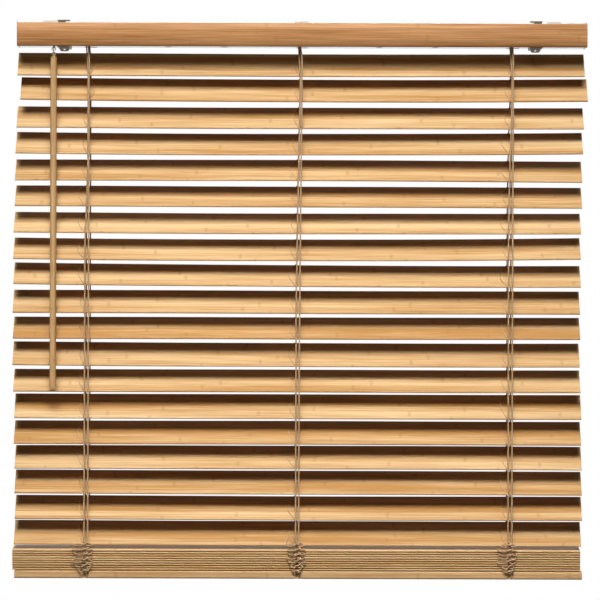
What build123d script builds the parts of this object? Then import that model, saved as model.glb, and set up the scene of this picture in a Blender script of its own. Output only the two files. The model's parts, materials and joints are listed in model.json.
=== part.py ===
from build123d import *
import os
from math import cos, pi, radians, sin, sqrt

# A bamboo venetian blind with string ladders, a wand that tilts its slats and spring motors that hold its height.
# Millimetres. X runs along the blind, its front faces -Y and +Z is up.
# The origin is on the ceiling plane, midway between the screw holes of the two brackets.

# Headrail: a steel channel, open on top
rail_length = 900.0
rail_shift = 3.0
rail_depth = 57.0
rail_height = 38.7
rail_wall = 0.8
rail_lip = 5.0
rail_corner = 2.0
rail_clearance = 0.4

# Ladder stations
station_inset = 113.0
ladder_offset = -6.4
lift_offset = -1.8
cord_radius = 0.75
rung_radius = 0.45
rung_overhang = 0.4
rung_gap = 0.9
ladder_slack = 3.7
lift_reach = 26.4

# Slats
slat_count = 28
open_count = 19
slat_length = 901.5
slat_width = 50.0
slat_thickness = 2.7
slat_edge = 1.0
slat_tilt = 44.0
tilt_drift = 1.5
closed_tilt = 61.6
first_slat_z = -69.5
ladder_pitch = 41.8
low_pitch = 39.3
even_count = 15
slat_shift = -4.4
shift_wobble = 1.2
top_slat_shifts = {1: 2.7, 2: 8.6, 3: 1.4}

# Stack of closed slats on the bottom rail
stack_gap = 26.0
stack_pitch = 3.95
stack_tilt = 2.8
stack_shift = -5.5

# Bottom rail
bottom_length = 901.0
bottom_width = 50.0
bottom_height = 12.4
bottom_edge = 2.5
bottom_shift = -0.3
groove_width = 10.0
groove_depth = 3.0
groove_mouth = 4.5
plug_radius = 5.0
plug_depth = 7.0
plug_clearance = 0.1

# Valance
valance_length = 907.7
valance_shift = 4.4
valance_top = -4.3
valance_height = 38.2
valance_thickness = 9.0
valance_back = -32.0
valance_round = 7.5
valance_toe = 2.5
kerf_z = -13.0
kerf_height = 1.5
kerf_depth = 4.0
clip_sheet = 1.0
clip_width = 22.0
clip_inset = 50.0

# Brackets
bracket_inset = 75.0
bracket_width = 19.4
bracket_sheet = 1.5
bracket_back_room = 3.5
bracket_screw_radius = 2.25
ceiling_hole_y = 0.0
wall_hole_z = -20.0
latch_sheet = 0.6
latch_reach = 26.0
tongue_width = 14.5
tab_width = 15.5
tab_drop = 7.3
tab_hole_radius = 1.6

# Tilt rod, its drums and their cradles
rod_z = -20.5
rod_side = 6.0
rod_fit = 0.15
rod_corner = 0.6
rod_tail = 35.0
rod_overhang = 32.0
drum_radius = 10.0
drum_half = 9.0
flange_radius = 11.6
flange_sheet = 1.0
journal_radius = 5.6
journal_length = 4.0
journal_fit = 0.06
arm_sheet = 2.5
arm_gap = 0.6
arm_half_width = 8.0
arm_rise = 9.0
base_sheet = 1.6
base_half_length = 21.0
window_half_length = 10.0
window_near = 9.0
window_far = 24.0

# Spring motors
motor_shift = 0.6
motor_length = 82.0
motor_depth = 46.0
motor_height = 26.0
motor_corner = 3.0
motor_tab_offset = 44.75
motor_tab_width = 8.4
motor_tab_depth = 14.0
motor_lid = 2.0

# Tilter and wand
wand_inset = 57.0
wand_y = -33.2
joint_z = -47.7
shaft_slant = 45.0
shaft_radius = 1.6
shaft_hole_radius = 2.1
shaft_fit = 0.08
shaft_length = 26.0
wire_radius = 0.65
loop_reach = 1.5
eye_ring = 3.1
link_ring = 3.4
ring_ring = 2.4
ring_drop = 1.7
lug_hole_radius = 1.3
lug_radius = 2.0
lug_sheet = 1.8
housing_length = 42.0
housing_corner = 2.0
wand_radius = 5.1
wand_sides = 10
wand_end_z = -586.6
cap_rise = 3.4
cap_neck = 2.6
nub_radius = 2.4
nub_length = 1.8

# Slack of the ladders, in front of and behind the stack
slack_width = 36.0
slack_depth = 6.5
slack_back = 27.5
slack_rise = 8.9
slack_foot = 4.85
slack_offset = -7.8

# Places that follow from the sizes above
rail_top = -bracket_sheet - rail_clearance
rail_bottom = rail_top - rail_height
floor_z = rail_bottom + rail_wall
rail_left = rail_shift - rail_length / 2
station_pitch = rail_length / 2 - station_inset
clip_pitch = rail_length / 2 - clip_inset
bracket_pitch = rail_length - 2 * bracket_inset
motor_x = station_pitch / 2 - motor_shift
stations = [rail_shift + step * station_pitch for step in (-1, 0, 1)]
brackets = [-bracket_pitch / 2, bracket_pitch / 2]
motors = [rail_shift - motor_x, rail_shift + motor_x]
wand_x = rail_left + wand_inset
rod_start = wand_x - rod_tail
rod_end = stations[-1] + rod_overhang
stack_count = slat_count - open_count
last_slat_z = first_slat_z - (even_count - 1) * ladder_pitch - (open_count - even_count) * low_pitch
stack_front_z = last_slat_z - stack_gap
bottom_top = stack_front_z - stack_count * stack_pitch
bottom_z = bottom_top - bottom_height
slack_top = stack_front_z + slack_rise
slack_bottom = bottom_z + slack_foot
half_slat = slat_width / 2
edge_out = half_slat * cos(radians(slat_tilt))
edge_drop = half_slat * sin(radians(slat_tilt))
strand_y = edge_out + ladder_slack

os.makedirs("parts", exist_ok=True)


def keep(piece, label):
    """Name a finished piece and write it."""
    piece.part.label = label
    export_step(piece.part, f"parts/{label}.step")


# Slats
def open_slat_z(number):
    """Height of a hanging slat's axis. The lowest ladders carry little and hang a little closer."""
    even = min(number, even_count) - 1
    low = max(number - even_count, 0)
    return first_slat_z - even * ladder_pitch - low * low_pitch


def open_slat_tilt(number):
    """Tilt of a hanging slat, front edge down: the upper slats lie a little flatter than the lowest."""
    return slat_tilt - tilt_drift * cos(pi * (number - 6) / (open_count - 6))


def stack_slat(number):
    """Height of a stacked slat's axis and its tilt, which dies out towards the bottom rail."""
    step = number - open_count - 1
    tilt = stack_tilt * (1 - step / (stack_count - 1))
    front = stack_front_z - step * stack_pitch
    rise = half_slat * sin(radians(tilt)) - slat_thickness / 2 * cos(radians(tilt))
    return front + rise, tilt


def slat_centre(number):
    """Middle of a slat along the blind: each one has slid a little in its rungs."""
    if number > open_count:
        return stack_shift
    return top_slat_shifts.get(number, slat_shift + shift_wobble * sin(2.3 * number))


def make_slat(number):
    """A slat and the three rungs that carry it, as one solid."""
    if number > open_count:
        height, tilt = stack_slat(number)
    else:
        height, tilt = open_slat_z(number), open_slat_tilt(number)
    back = Vector(0, cos(radians(tilt)), sin(radians(tilt)))
    up = Vector(0, -back.Z, back.Y)
    left_end = slat_centre(number) - slat_length / 2
    rung_drop = slat_thickness / 2 + 0.8 * rung_radius
    front_reach = half_slat + rung_overhang
    rear_reach = front_reach
    if number <= open_count:
        rung_end_y = strand_y - cord_radius - rung_gap
        rear_reach = (rung_end_y - (rung_drop + rung_radius) * back.Z) / back.Y
    with BuildPart() as slat:
        with BuildSketch(Plane(origin=(left_end, 0, height), x_dir=back, z_dir=(1, 0, 0))):
            Rectangle(slat_width, slat_thickness)
            fillet(vertices(), radius=slat_edge)
        extrude(amount=slat_length)
        for station in stations:
            start = Vector(station + ladder_offset, 0, height) - back * front_reach - up * rung_drop
            with BuildSketch(Plane(origin=start, x_dir=(1, 0, 0), z_dir=back)):
                RegularPolygon(radius=rung_radius, side_count=6)
            extrude(amount=front_reach + rear_reach)
    keep(slat, f"slat_{number:02d}")


for number in range(1, slat_count + 1):
    make_slat(number)


# Headrail
outer_half = rail_depth / 2
inner_half = outer_half - rail_wall
window_middle = (window_near + window_far) / 2
window_width = window_far - window_near
slant = Vector(0, -sin(radians(shaft_slant)), -cos(radians(shaft_slant)))
joint = Vector(wand_x, wand_y, joint_z)
shaft_plane = Plane(origin=joint, x_dir=(1, 0, 0), z_dir=-slant)

with BuildPart() as headrail:
    with BuildSketch(Plane(origin=(rail_left, 0, 0), x_dir=(0, 1, 0), z_dir=(1, 0, 0))) as channel:
        with Locations((0, (rail_top + rail_bottom) / 2)):
            Rectangle(rail_depth, rail_height)
        fillet(channel.vertices().group_by(Axis.Z)[0], radius=rail_corner)
        with Locations((0, floor_z)):
            Rectangle(2 * inner_half, rail_height - 2 * rail_wall, align=(Align.CENTER, Align.MIN), mode=Mode.SUBTRACT)
        with Locations((0, rail_top)):
            Rectangle(2 * (outer_half - rail_lip), 4 * rail_wall, mode=Mode.SUBTRACT)
    extrude(amount=rail_length)
    with BuildSketch(Plane.XY.offset(rail_bottom)):
        for station in stations:
            with Locations((station, -window_middle), (station, window_middle)):
                RectangleRounded(2 * window_half_length, window_width, 2)
        for motor in motors:
            with Locations((motor - motor_tab_offset, 0), (motor + motor_tab_offset, 0)):
                Rectangle(motor_tab_width + 2 * rail_clearance, motor_tab_depth + 2 * rail_clearance)
    extrude(amount=2 * rail_wall, both=True, mode=Mode.SUBTRACT)
    with BuildSketch(shaft_plane):
        Circle(shaft_hole_radius)
    extrude(amount=shaft_length, mode=Mode.SUBTRACT)
keep(headrail, "headrail")


# End caps of the headrail
cap_sheet = 2.0
cap_plug_depth = 9.0
cap_plug_height = 22.0
cap_plug_wall = 2.0
for side, label in ((-1, "end_cap_left"), (1, "end_cap_right")):
    end_x = rail_shift + side * rail_length / 2
    with BuildPart() as end_cap:
        with BuildSketch(Plane(origin=(end_x, 0, 0), x_dir=(0, side, 0), z_dir=(side, 0, 0))):
            with Locations((0, (rail_top + rail_bottom) / 2)):
                RectangleRounded(rail_depth, rail_height, rail_corner)
        extrude(amount=cap_sheet)
        with BuildSketch(Plane(origin=(end_x, 0, 0), x_dir=(0, -side, 0), z_dir=(-side, 0, 0))):
            with Locations((0, floor_z + rail_clearance)):
                Rectangle(2 * (inner_half - rail_clearance), cap_plug_height, align=(Align.CENTER, Align.MIN))
            with Locations((0, floor_z + rail_clearance + cap_plug_wall)):
                Rectangle(2 * (inner_half - rail_clearance - cap_plug_wall), cap_plug_height,
                          align=(Align.CENTER, Align.MIN), mode=Mode.SUBTRACT)
        extrude(amount=cap_plug_depth)
    keep(end_cap, label)


# Valance: a bamboo board with a rounded top edge and a kerf in its back for the clips
valance_front = valance_back - valance_thickness
valance_bottom = valance_top - valance_height
with BuildPart() as valance:
    with BuildSketch(Plane(origin=(valance_shift - valance_length / 2, 0, 0), x_dir=(0, 1, 0), z_dir=(1, 0, 0))):
        with BuildLine():
            Polyline(
                (valance_front, valance_top - valance_round),
                (valance_front, valance_bottom + valance_toe),
                (valance_front + valance_toe, valance_bottom),
                (valance_back, valance_bottom),
                (valance_back, valance_top),
                (valance_front + valance_round, valance_top),
            )
            RadiusArc(
                (valance_front + valance_round, valance_top),
                (valance_front, valance_top - valance_round),
                -valance_round,
            )
        make_face()
        with Locations((valance_back, kerf_z)):
            Rectangle(2 * kerf_depth, kerf_height, mode=Mode.SUBTRACT)
    extrude(amount=valance_length)
keep(valance, "valance")


# Clips that hang the valance on the headrail's front lip
clip_gap = (kerf_height - clip_sheet) / 2
with BuildPart() as valance_clips:
    for step in (-1, 0, 1):
        start_x = rail_shift + step * clip_pitch - clip_width / 2
        with BuildSketch(Plane(origin=(start_x, 0, 0), x_dir=(0, 1, 0), z_dir=(1, 0, 0))):
            with BuildLine():
                clip_path = Polyline(
                    (-outer_half + rail_lip - clip_sheet, rail_top + clip_sheet / 2),
                    (-outer_half - clip_sheet / 2, rail_top + clip_sheet / 2),
                    (-outer_half - clip_sheet / 2, kerf_z),
                    (valance_back - kerf_depth + clip_sheet, kerf_z),
                )
                offset(clip_path, amount=clip_sheet / 2, side=Side.BOTH)
            make_face()
        extrude(amount=clip_width)
keep(valance_clips, "valance_clips")


# Brackets: a sheet bent over the top, down the back and under the headrail, with a tab in front
bracket_rear = outer_half + bracket_back_room + bracket_sheet
bracket_front = -outer_half - 1.0
foot_z = rail_bottom - rail_clearance / 2
bracket_floor = foot_z - latch_sheet
tongue_y = -outer_half - 0.5
tab_y = bracket_front
for side, bracket_x, label in ((1, brackets[0], "bracket_left"), (-1, brackets[1], "bracket_right")):
    tab_x = bracket_x + side * (bracket_width - tab_width) / 2
    with BuildPart() as bracket:
        with BuildSketch(Plane(origin=(bracket_x - bracket_width / 2, 0, 0), x_dir=(0, 1, 0), z_dir=(1, 0, 0))):
            with BuildLine():
                Polyline(
                    (bracket_front + 1.0, 0),
                    (bracket_rear, 0),
                    (bracket_rear, bracket_floor - bracket_sheet),
                    (tab_y - bracket_sheet, bracket_floor - bracket_sheet),
                    (tab_y - bracket_sheet, bracket_floor),
                    (bracket_rear - bracket_sheet, bracket_floor),
                    (bracket_rear - bracket_sheet, -bracket_sheet),
                    (bracket_front + 1.0, -bracket_sheet),
                    close=True,
                )
            make_face()
        extrude(amount=bracket_width)
        with BuildSketch(Plane(origin=(tab_x, tab_y, bracket_floor), x_dir=(1, 0, 0), z_dir=(0, -1, 0))):
            with Locations((0, -(bracket_sheet + tab_drop) / 2)):
                Rectangle(tab_width, bracket_sheet + tab_drop)
        extrude(amount=bracket_sheet)
        fillet(bracket.edges().filter_by(Axis.Y).group_by(Axis.Z)[0], radius=4)
        with Locations(Plane(origin=(tab_x, tab_y, bracket_floor - bracket_sheet - tab_drop / 2), z_dir=(0, -1, 0))):
            Hole(tab_hole_radius, depth=4 * bracket_sheet)
        with Locations(Plane(origin=(bracket_x, ceiling_hole_y, 0), z_dir=(0, 0, 1))):
            Hole(bracket_screw_radius, depth=2 * bracket_sheet)
        with Locations(Plane(origin=(bracket_x, bracket_rear, wall_hole_z), z_dir=(0, 1, 0))):
            Hole(bracket_screw_radius, depth=2 * bracket_sheet)
    keep(bracket, label)


# Latches: spring leaves whose round tongues hold the headrail's front and show above the valance
with BuildPart() as bracket_latches:
    for side, bracket_x in ((1, brackets[0]), (-1, brackets[1])):
        tongue_x = bracket_x - side * (bracket_width - tongue_width) / 2
        with BuildSketch(Plane(origin=(tongue_x, tongue_y, bracket_floor), x_dir=(1, 0, 0), z_dir=(0, -1, 0))):
            with Locations((0, 0)):
                Rectangle(tongue_width, -bracket_floor - 0.1, align=(Align.CENTER, Align.MIN))
            fillet(vertices().group_by(Axis.Z)[-1], radius=tongue_width * 0.45)
        extrude(amount=latch_sheet)
        with Locations((tongue_x, tongue_y - latch_sheet, bracket_floor)):
            Box(tongue_width, latch_reach, latch_sheet, align=(Align.CENTER, Align.MIN, Align.MIN))
keep(bracket_latches, "bracket_latches")


# Tilt rod: square, through the tilter and the three drums
with BuildPart() as tilt_rod:
    with BuildSketch(Plane(origin=(rod_start, 0, rod_z), x_dir=(0, 1, 0), z_dir=(1, 0, 0))):
        RectangleRounded(rod_side, rod_side, rod_corner)
    extrude(amount=rod_end - rod_start)
keep(tilt_rod, "tilt_rod")


# Drums, from which the ladders hang
def make_drum(station, label):
    inside = station - drum_half - flange_sheet - journal_length
    reach = drum_half + flange_sheet + journal_length
    with BuildPart() as drum:
        with BuildSketch(Plane(origin=(station, 0, rod_z), x_dir=(1, 0, 0), z_dir=(0, -1, 0))):
            with BuildLine():
                Polyline(
                    (-reach, 0),
                    (-reach, journal_radius),
                    (-drum_half - flange_sheet, journal_radius),
                    (-drum_half - flange_sheet, flange_radius),
                    (-drum_half, flange_radius),
                    (-drum_half, drum_radius),
                    (drum_half, drum_radius),
                    (drum_half, flange_radius),
                    (drum_half + flange_sheet, flange_radius),
                    (drum_half + flange_sheet, journal_radius),
                    (reach, journal_radius),
                    (reach, 0),
                    close=True,
                )
            make_face()
        revolve(axis=Axis((station, 0, rod_z), (1, 0, 0)))
        with BuildSketch(Plane(origin=(inside, 0, rod_z), x_dir=(0, 1, 0), z_dir=(1, 0, 0))):
            RectangleRounded(rod_side + 2 * rod_fit, rod_side + 2 * rod_fit, rod_corner)
        extrude(amount=2 * reach, mode=Mode.SUBTRACT)
    keep(drum, label)


# Cradles: each stands on the headrail's floor, and its two arms carry a drum's journals
def make_cradle(station, label):
    arm_near = drum_half + flange_sheet + arm_gap
    arm_top = rod_z + arm_rise
    with BuildPart() as cradle:
        with BuildSketch(Plane.XY.offset(floor_z)):
            with Locations((station, 0)):
                Rectangle(2 * base_half_length, 2 * (inner_half - rail_clearance))
            with Locations((station, -window_middle), (station, window_middle)):
                RectangleRounded(2 * (window_half_length - 1.2), window_width - 2.4, 1.5, mode=Mode.SUBTRACT)
        extrude(amount=base_sheet)
        with BuildSketch(Plane.XY.offset(floor_z)):
            with Locations((station, -window_middle), (station, window_middle)):
                RectangleRounded(2 * (window_half_length - 0.2), window_width - 0.4, 1.8)
                RectangleRounded(2 * (window_half_length - 1.2), window_width - 2.4, 1.5, mode=Mode.SUBTRACT)
        extrude(amount=-rail_wall)
        for start in (station - arm_near - arm_sheet, station + arm_near):
            with BuildSketch(Plane(origin=(start, 0, 0), x_dir=(0, 1, 0), z_dir=(1, 0, 0))):
                with Locations((0, floor_z)):
                    Rectangle(2 * arm_half_width, arm_top - floor_z, align=(Align.CENTER, Align.MIN))
                with Locations((0, rod_z)):
                    Circle(journal_radius + journal_fit, mode=Mode.SUBTRACT)
                    Rectangle(1.7 * journal_radius, 2 * arm_rise, align=(Align.CENTER, Align.MIN),
                              mode=Mode.SUBTRACT)
            extrude(amount=arm_sheet)
    keep(cradle, label)


for station, place in zip(stations, ("left", "centre", "right")):
    make_drum(station, f"tilt_drum_{place}")
    make_cradle(station, f"drum_cradle_{place}")


# Spring motors: closed boxes, each held by two tabs in slots of the headrail's floor
for motor, label in zip(motors, ("spring_motor_left", "spring_motor_right")):
    with BuildPart() as spring_motor:
        with BuildSketch(Plane.XY.offset(floor_z + 0.2)):
            with Locations((motor, 0)):
                RectangleRounded(motor_length, motor_depth, motor_corner)
        extrude(amount=motor_height)
        with BuildSketch(Plane.XY.offset(floor_z + 0.2)):
            with Locations((motor - motor_tab_offset, 0), (motor + motor_tab_offset, 0)):
                Rectangle(motor_tab_width, motor_tab_depth)
        extrude(amount=motor_lid)
        with BuildSketch(Plane.XY.offset(floor_z + 0.2)):
            with Locations((motor - motor_tab_offset, 0), (motor + motor_tab_offset, 0)):
                Rectangle(motor_tab_width, motor_tab_depth)
        extrude(amount=-rail_wall - 0.2)
        with BuildSketch(Plane(origin=(motor - motor_length / 2, 0, rod_z), x_dir=(0, 1, 0), z_dir=(1, 0, 0))):
            Circle(rod_side / sqrt(2) + 0.6)
        extrude(amount=motor_length, mode=Mode.SUBTRACT)
    keep(spring_motor, label)


# Tilter: a closed housing over the rod, with its output shaft slanting out of the headrail's lower front corner
housing_top = rod_z + 11.0
housing_front = -inner_half + rail_clearance
housing_back = 14.0
with BuildPart() as tilter_housing:
    with BuildSketch(Plane(origin=(wand_x - housing_length / 2, 0, 0), x_dir=(0, 1, 0), z_dir=(1, 0, 0))):
        with BuildLine():
            Polyline(
                (housing_front, floor_z + 0.2),
                (housing_back, floor_z + 0.2),
                (housing_back, housing_top),
                (-12, housing_top),
                (housing_front, housing_top - 8),
                close=True,
            )
        make_face()
        fillet(vertices().group_by(Axis.Z)[-1], radius=housing_corner)
    extrude(amount=housing_length)
    with BuildSketch(Plane(origin=(wand_x - housing_length / 2, 0, rod_z), x_dir=(0, 1, 0), z_dir=(1, 0, 0))):
        Circle(rod_side / sqrt(2) + 0.4)
    extrude(amount=housing_length, mode=Mode.SUBTRACT)
    with BuildSketch(shaft_plane):
        Circle(shaft_radius + shaft_fit)
    extrude(amount=shaft_length + 0.5, mode=Mode.SUBTRACT)
keep(tilter_housing, "tilter_housing")


# Output shaft, with an eye at its end
eye_back = eye_ring - loop_reach
with BuildPart() as tilter_shaft:
    with BuildSketch(shaft_plane.offset(eye_back + eye_ring)):
        Circle(shaft_radius)
    extrude(amount=shaft_length - eye_back - eye_ring)
    with BuildSketch(Plane(origin=joint - slant * eye_back, x_dir=(1, 0, 0), z_dir=-slant)):
        with Locations((eye_ring, 0)):
            Circle(wire_radius)
    revolve(axis=Axis(joint - slant * eye_back, Vector(1, 0, 0).cross(slant)))
keep(tilter_shaft, "tilter_shaft")


# Wand link, ring, cap and stick
link_centre = joint - Vector(0, 0, link_ring - loop_reach)
ring_centre = link_centre - Vector(0, 0, link_ring - ring_drop + ring_ring)
lug_z = ring_centre.Z - ring_ring

with BuildPart() as wand_link:
    with BuildSketch(Plane(origin=link_centre, x_dir=(0, 1, 0), z_dir=(0, 0, 1))):
        with Locations((link_ring, 0)):
            Circle(wire_radius)
    revolve(axis=Axis(link_centre, (1, 0, 0)))
keep(wand_link, "wand_link")

with BuildPart() as wand_ring:
    with BuildSketch(Plane(origin=ring_centre, x_dir=(1, 0, 0), z_dir=(0, 0, 1))):
        with Locations((ring_ring, 0)):
            Circle(wire_radius)
    revolve(axis=Axis(ring_centre, (0, 1, 0)))
keep(wand_ring, "wand_ring")

cap_top = lug_z - lug_hole_radius - 0.1
cap_bottom = cap_top - cap_rise
with BuildPart() as wand_cap:
    with BuildSketch(Plane(origin=(wand_x, wand_y, 0), x_dir=(1, 0, 0), z_dir=(0, -1, 0))):
        with BuildLine():
            Polyline(
                (0, cap_top),
                (cap_neck, cap_top),
                (wand_radius, cap_bottom + 1.0),
                (wand_radius, cap_bottom),
                (0, cap_bottom),
                close=True,
            )
        make_face()
    revolve(axis=Axis((wand_x, wand_y, 0), (0, 0, 1)))
    with BuildSketch(Plane(origin=(wand_x - lug_sheet / 2, wand_y, lug_z), x_dir=(0, 1, 0), z_dir=(1, 0, 0))):
        Circle(lug_radius)
        with Locations((0, -lug_radius / 2)):
            Rectangle(2 * lug_radius, lug_radius)
        Circle(lug_hole_radius, mode=Mode.SUBTRACT)
    extrude(amount=lug_sheet)
keep(wand_cap, "wand_cap")

with BuildPart() as wand:
    with BuildSketch(Plane.XY.offset(cap_bottom)):
        with Locations((wand_x, wand_y)):
            RegularPolygon(radius=wand_radius, side_count=wand_sides)
    extrude(amount=wand_end_z - cap_bottom)
    chamfer(wand.faces().sort_by(Axis.Z)[0].edges(), length=0.6)
    with Locations((wand_x, wand_y, wand_end_z)):
        Cylinder(nub_radius, nub_length, align=(Align.CENTER, Align.CENTER, Align.MAX))
keep(wand, "wand")


# Bottom rail, with a groove under each station for the cords and a pocket for the plug that holds them
bottom_half = bottom_width / 2
cord_middle = (ladder_offset + lift_offset) / 2
with BuildPart() as bottom_rail:
    with BuildSketch(Plane(origin=(bottom_shift - bottom_length / 2, 0, 0), x_dir=(0, 1, 0), z_dir=(1, 0, 0))):
        with Locations((0, bottom_top - bottom_height / 2)):
            RectangleRounded(bottom_width, bottom_height, bottom_edge)
    extrude(amount=bottom_length)
    for station in stations:
        start = station + cord_middle - groove_width / 2
        with BuildSketch(Plane(origin=(start, 0, 0), x_dir=(0, 1, 0), z_dir=(1, 0, 0))):
            with BuildLine():
                Polyline(
                    (-bottom_half - 1, bottom_z - 1),
                    (-bottom_half - 1, bottom_z + groove_depth + groove_mouth + 1),
                    (-bottom_half + groove_mouth, bottom_z + groove_depth),
                    (bottom_half - groove_mouth, bottom_z + groove_depth),
                    (bottom_half + 1, bottom_z + groove_depth + groove_mouth + 1),
                    (bottom_half + 1, bottom_z - 1),
                    close=True,
                )
            make_face()
        extrude(amount=groove_width, mode=Mode.SUBTRACT)
        with BuildSketch(Plane.XY.offset(bottom_z)):
            with Locations((station + cord_middle, 0)):
                Circle(plug_radius + plug_clearance)
        extrude(amount=plug_depth, mode=Mode.SUBTRACT)
keep(bottom_rail, "bottom_rail")

with BuildPart() as rail_plugs:
    for station in stations:
        with BuildSketch(Plane.XY.offset(bottom_z + 0.4)):
            with Locations((station + cord_middle, 0)):
                Circle(plug_radius)
        extrude(amount=plug_depth - 0.6)
keep(rail_plugs, "rail_plugs")


# Ladder cords: the front and rear strings that the rungs join, from the first slat to the last open one
for side, label in ((-1, "front_ladder_cords"), (1, "rear_ladder_cords")):
    with BuildPart() as ladder_cords:
        with BuildSketch(Plane.XY.offset(first_slat_z + side * edge_drop)):
            for station in stations:
                with Locations((station + ladder_offset, side * strand_y)):
                    Circle(cord_radius)
        extrude(amount=last_slat_z - first_slat_z)
    keep(ladder_cords, label)

# Ladder tails: from the drums down to the first slat's edges
tail_start = drum_radius + cord_radius + 0.1
for side, label in ((-1, "front_ladder_tails"), (1, "rear_ladder_tails")):
    with BuildPart() as ladder_tails:
        for station in stations:
            top = Vector(station + ladder_offset, side * tail_start, rod_z)
            end = Vector(station + ladder_offset, side * strand_y, first_slat_z + side * edge_drop + 0.2)
            with BuildSketch(Plane(origin=top, x_dir=(1, 0, 0), z_dir=end - top)):
                Circle(cord_radius)
            extrude(amount=(end - top).length)
    keep(ladder_tails, label)


# Lift cords: from a spring motor along the headrail, down past the slats and into the bottom rail's groove
def lift_route(station, motor_face, side):
    """Corners of a lift cord's route."""
    x = station + lift_offset
    run_z = floor_z + 9.0
    return [
        (motor_face, side * 17.5, run_z),
        (x, side * 17.5, run_z),
        (x, side * 18.0, rail_bottom - 3.5),
        (x, side * 25.2, first_slat_z + 12.0),
        (x, side * lift_reach, first_slat_z - 8.0),
        (x, side * lift_reach, bottom_z + groove_depth / 2),
        (x, side * (plug_radius + 1.5), bottom_z + groove_depth / 2),
    ]


def motor_faces(side):
    """Where each station's lift cord enters a motor."""
    left, right = motors
    middle = left + motor_length / 2 if side < 0 else right - motor_length / 2
    return [left - motor_length / 2, middle, right + motor_length / 2]


for side, label in ((-1, "front_lift_cords"), (1, "rear_lift_cords")):
    with BuildPart() as lift_cords:
        for station, face in zip(stations, motor_faces(side)):
            with BuildLine() as route:
                FilletPolyline(*lift_route(station, face, side), radius=[6.0, 12.0, 30.0, 60.0, 4.5])
            first = Plane(origin=route.wire() @ 0, z_dir=route.wire() % 0)
            with BuildSketch(first):
                Circle(cord_radius)
            sweep()
    keep(lift_cords, label)


# Slack of the ladders: the string of the stacked slats, gathered in front of and behind them
with BuildPart() as ladder_slack_bunches:
    for side in (-1, 1):
        for station in stations:
            middle = station + slack_offset
            with BuildSketch(Plane(origin=(middle, side * slack_back, 0), x_dir=(-side, 0, 0), z_dir=(0, side, 0))):
                with Locations((0, (slack_top + slack_bottom) / 2)):
                    RectangleRounded(slack_width, slack_top - slack_bottom, slack_width * 0.3)
            extrude(amount=slack_depth, taper=20)
keep(ladder_slack_bunches, "ladder_slack")
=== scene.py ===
import json
import random
from math import cos, pi, radians, sin

import bmesh
import bpy
from bpy.props import FloatProperty, FloatVectorProperty, IntProperty, PointerProperty, StringProperty
from bpy.types import Operator, Panel, PropertyGroup
from mathutils import Matrix, Vector


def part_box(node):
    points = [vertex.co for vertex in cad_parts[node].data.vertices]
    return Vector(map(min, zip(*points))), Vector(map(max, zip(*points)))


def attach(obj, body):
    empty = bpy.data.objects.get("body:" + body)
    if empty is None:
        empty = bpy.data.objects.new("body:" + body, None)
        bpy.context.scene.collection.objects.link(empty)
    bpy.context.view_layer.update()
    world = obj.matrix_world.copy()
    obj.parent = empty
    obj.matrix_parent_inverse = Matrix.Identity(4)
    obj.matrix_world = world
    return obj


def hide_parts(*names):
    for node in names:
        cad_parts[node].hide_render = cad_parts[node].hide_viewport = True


bl_info = {
    "name": "Bamboo venetian blind",
    "version": (1, 0, 0),
    "blender": (4, 5, 0),
    "location": "View3D > Sidebar > Blind",
    "description": "Dresses the bamboo venetian blind's frame with slats, cords, hardware and light",
    "category": "Object",
}

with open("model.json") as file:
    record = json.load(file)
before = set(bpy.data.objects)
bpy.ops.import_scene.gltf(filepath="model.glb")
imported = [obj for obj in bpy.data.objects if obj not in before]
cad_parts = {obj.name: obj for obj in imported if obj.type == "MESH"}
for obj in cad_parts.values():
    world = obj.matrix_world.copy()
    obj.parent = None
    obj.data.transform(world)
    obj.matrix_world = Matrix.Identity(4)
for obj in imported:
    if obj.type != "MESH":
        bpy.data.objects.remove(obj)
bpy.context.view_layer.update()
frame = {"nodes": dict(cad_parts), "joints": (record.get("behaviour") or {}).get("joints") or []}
joint_places = {joint["name"]: joint.get("pos_m") for joint in frame["joints"]}


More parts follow.
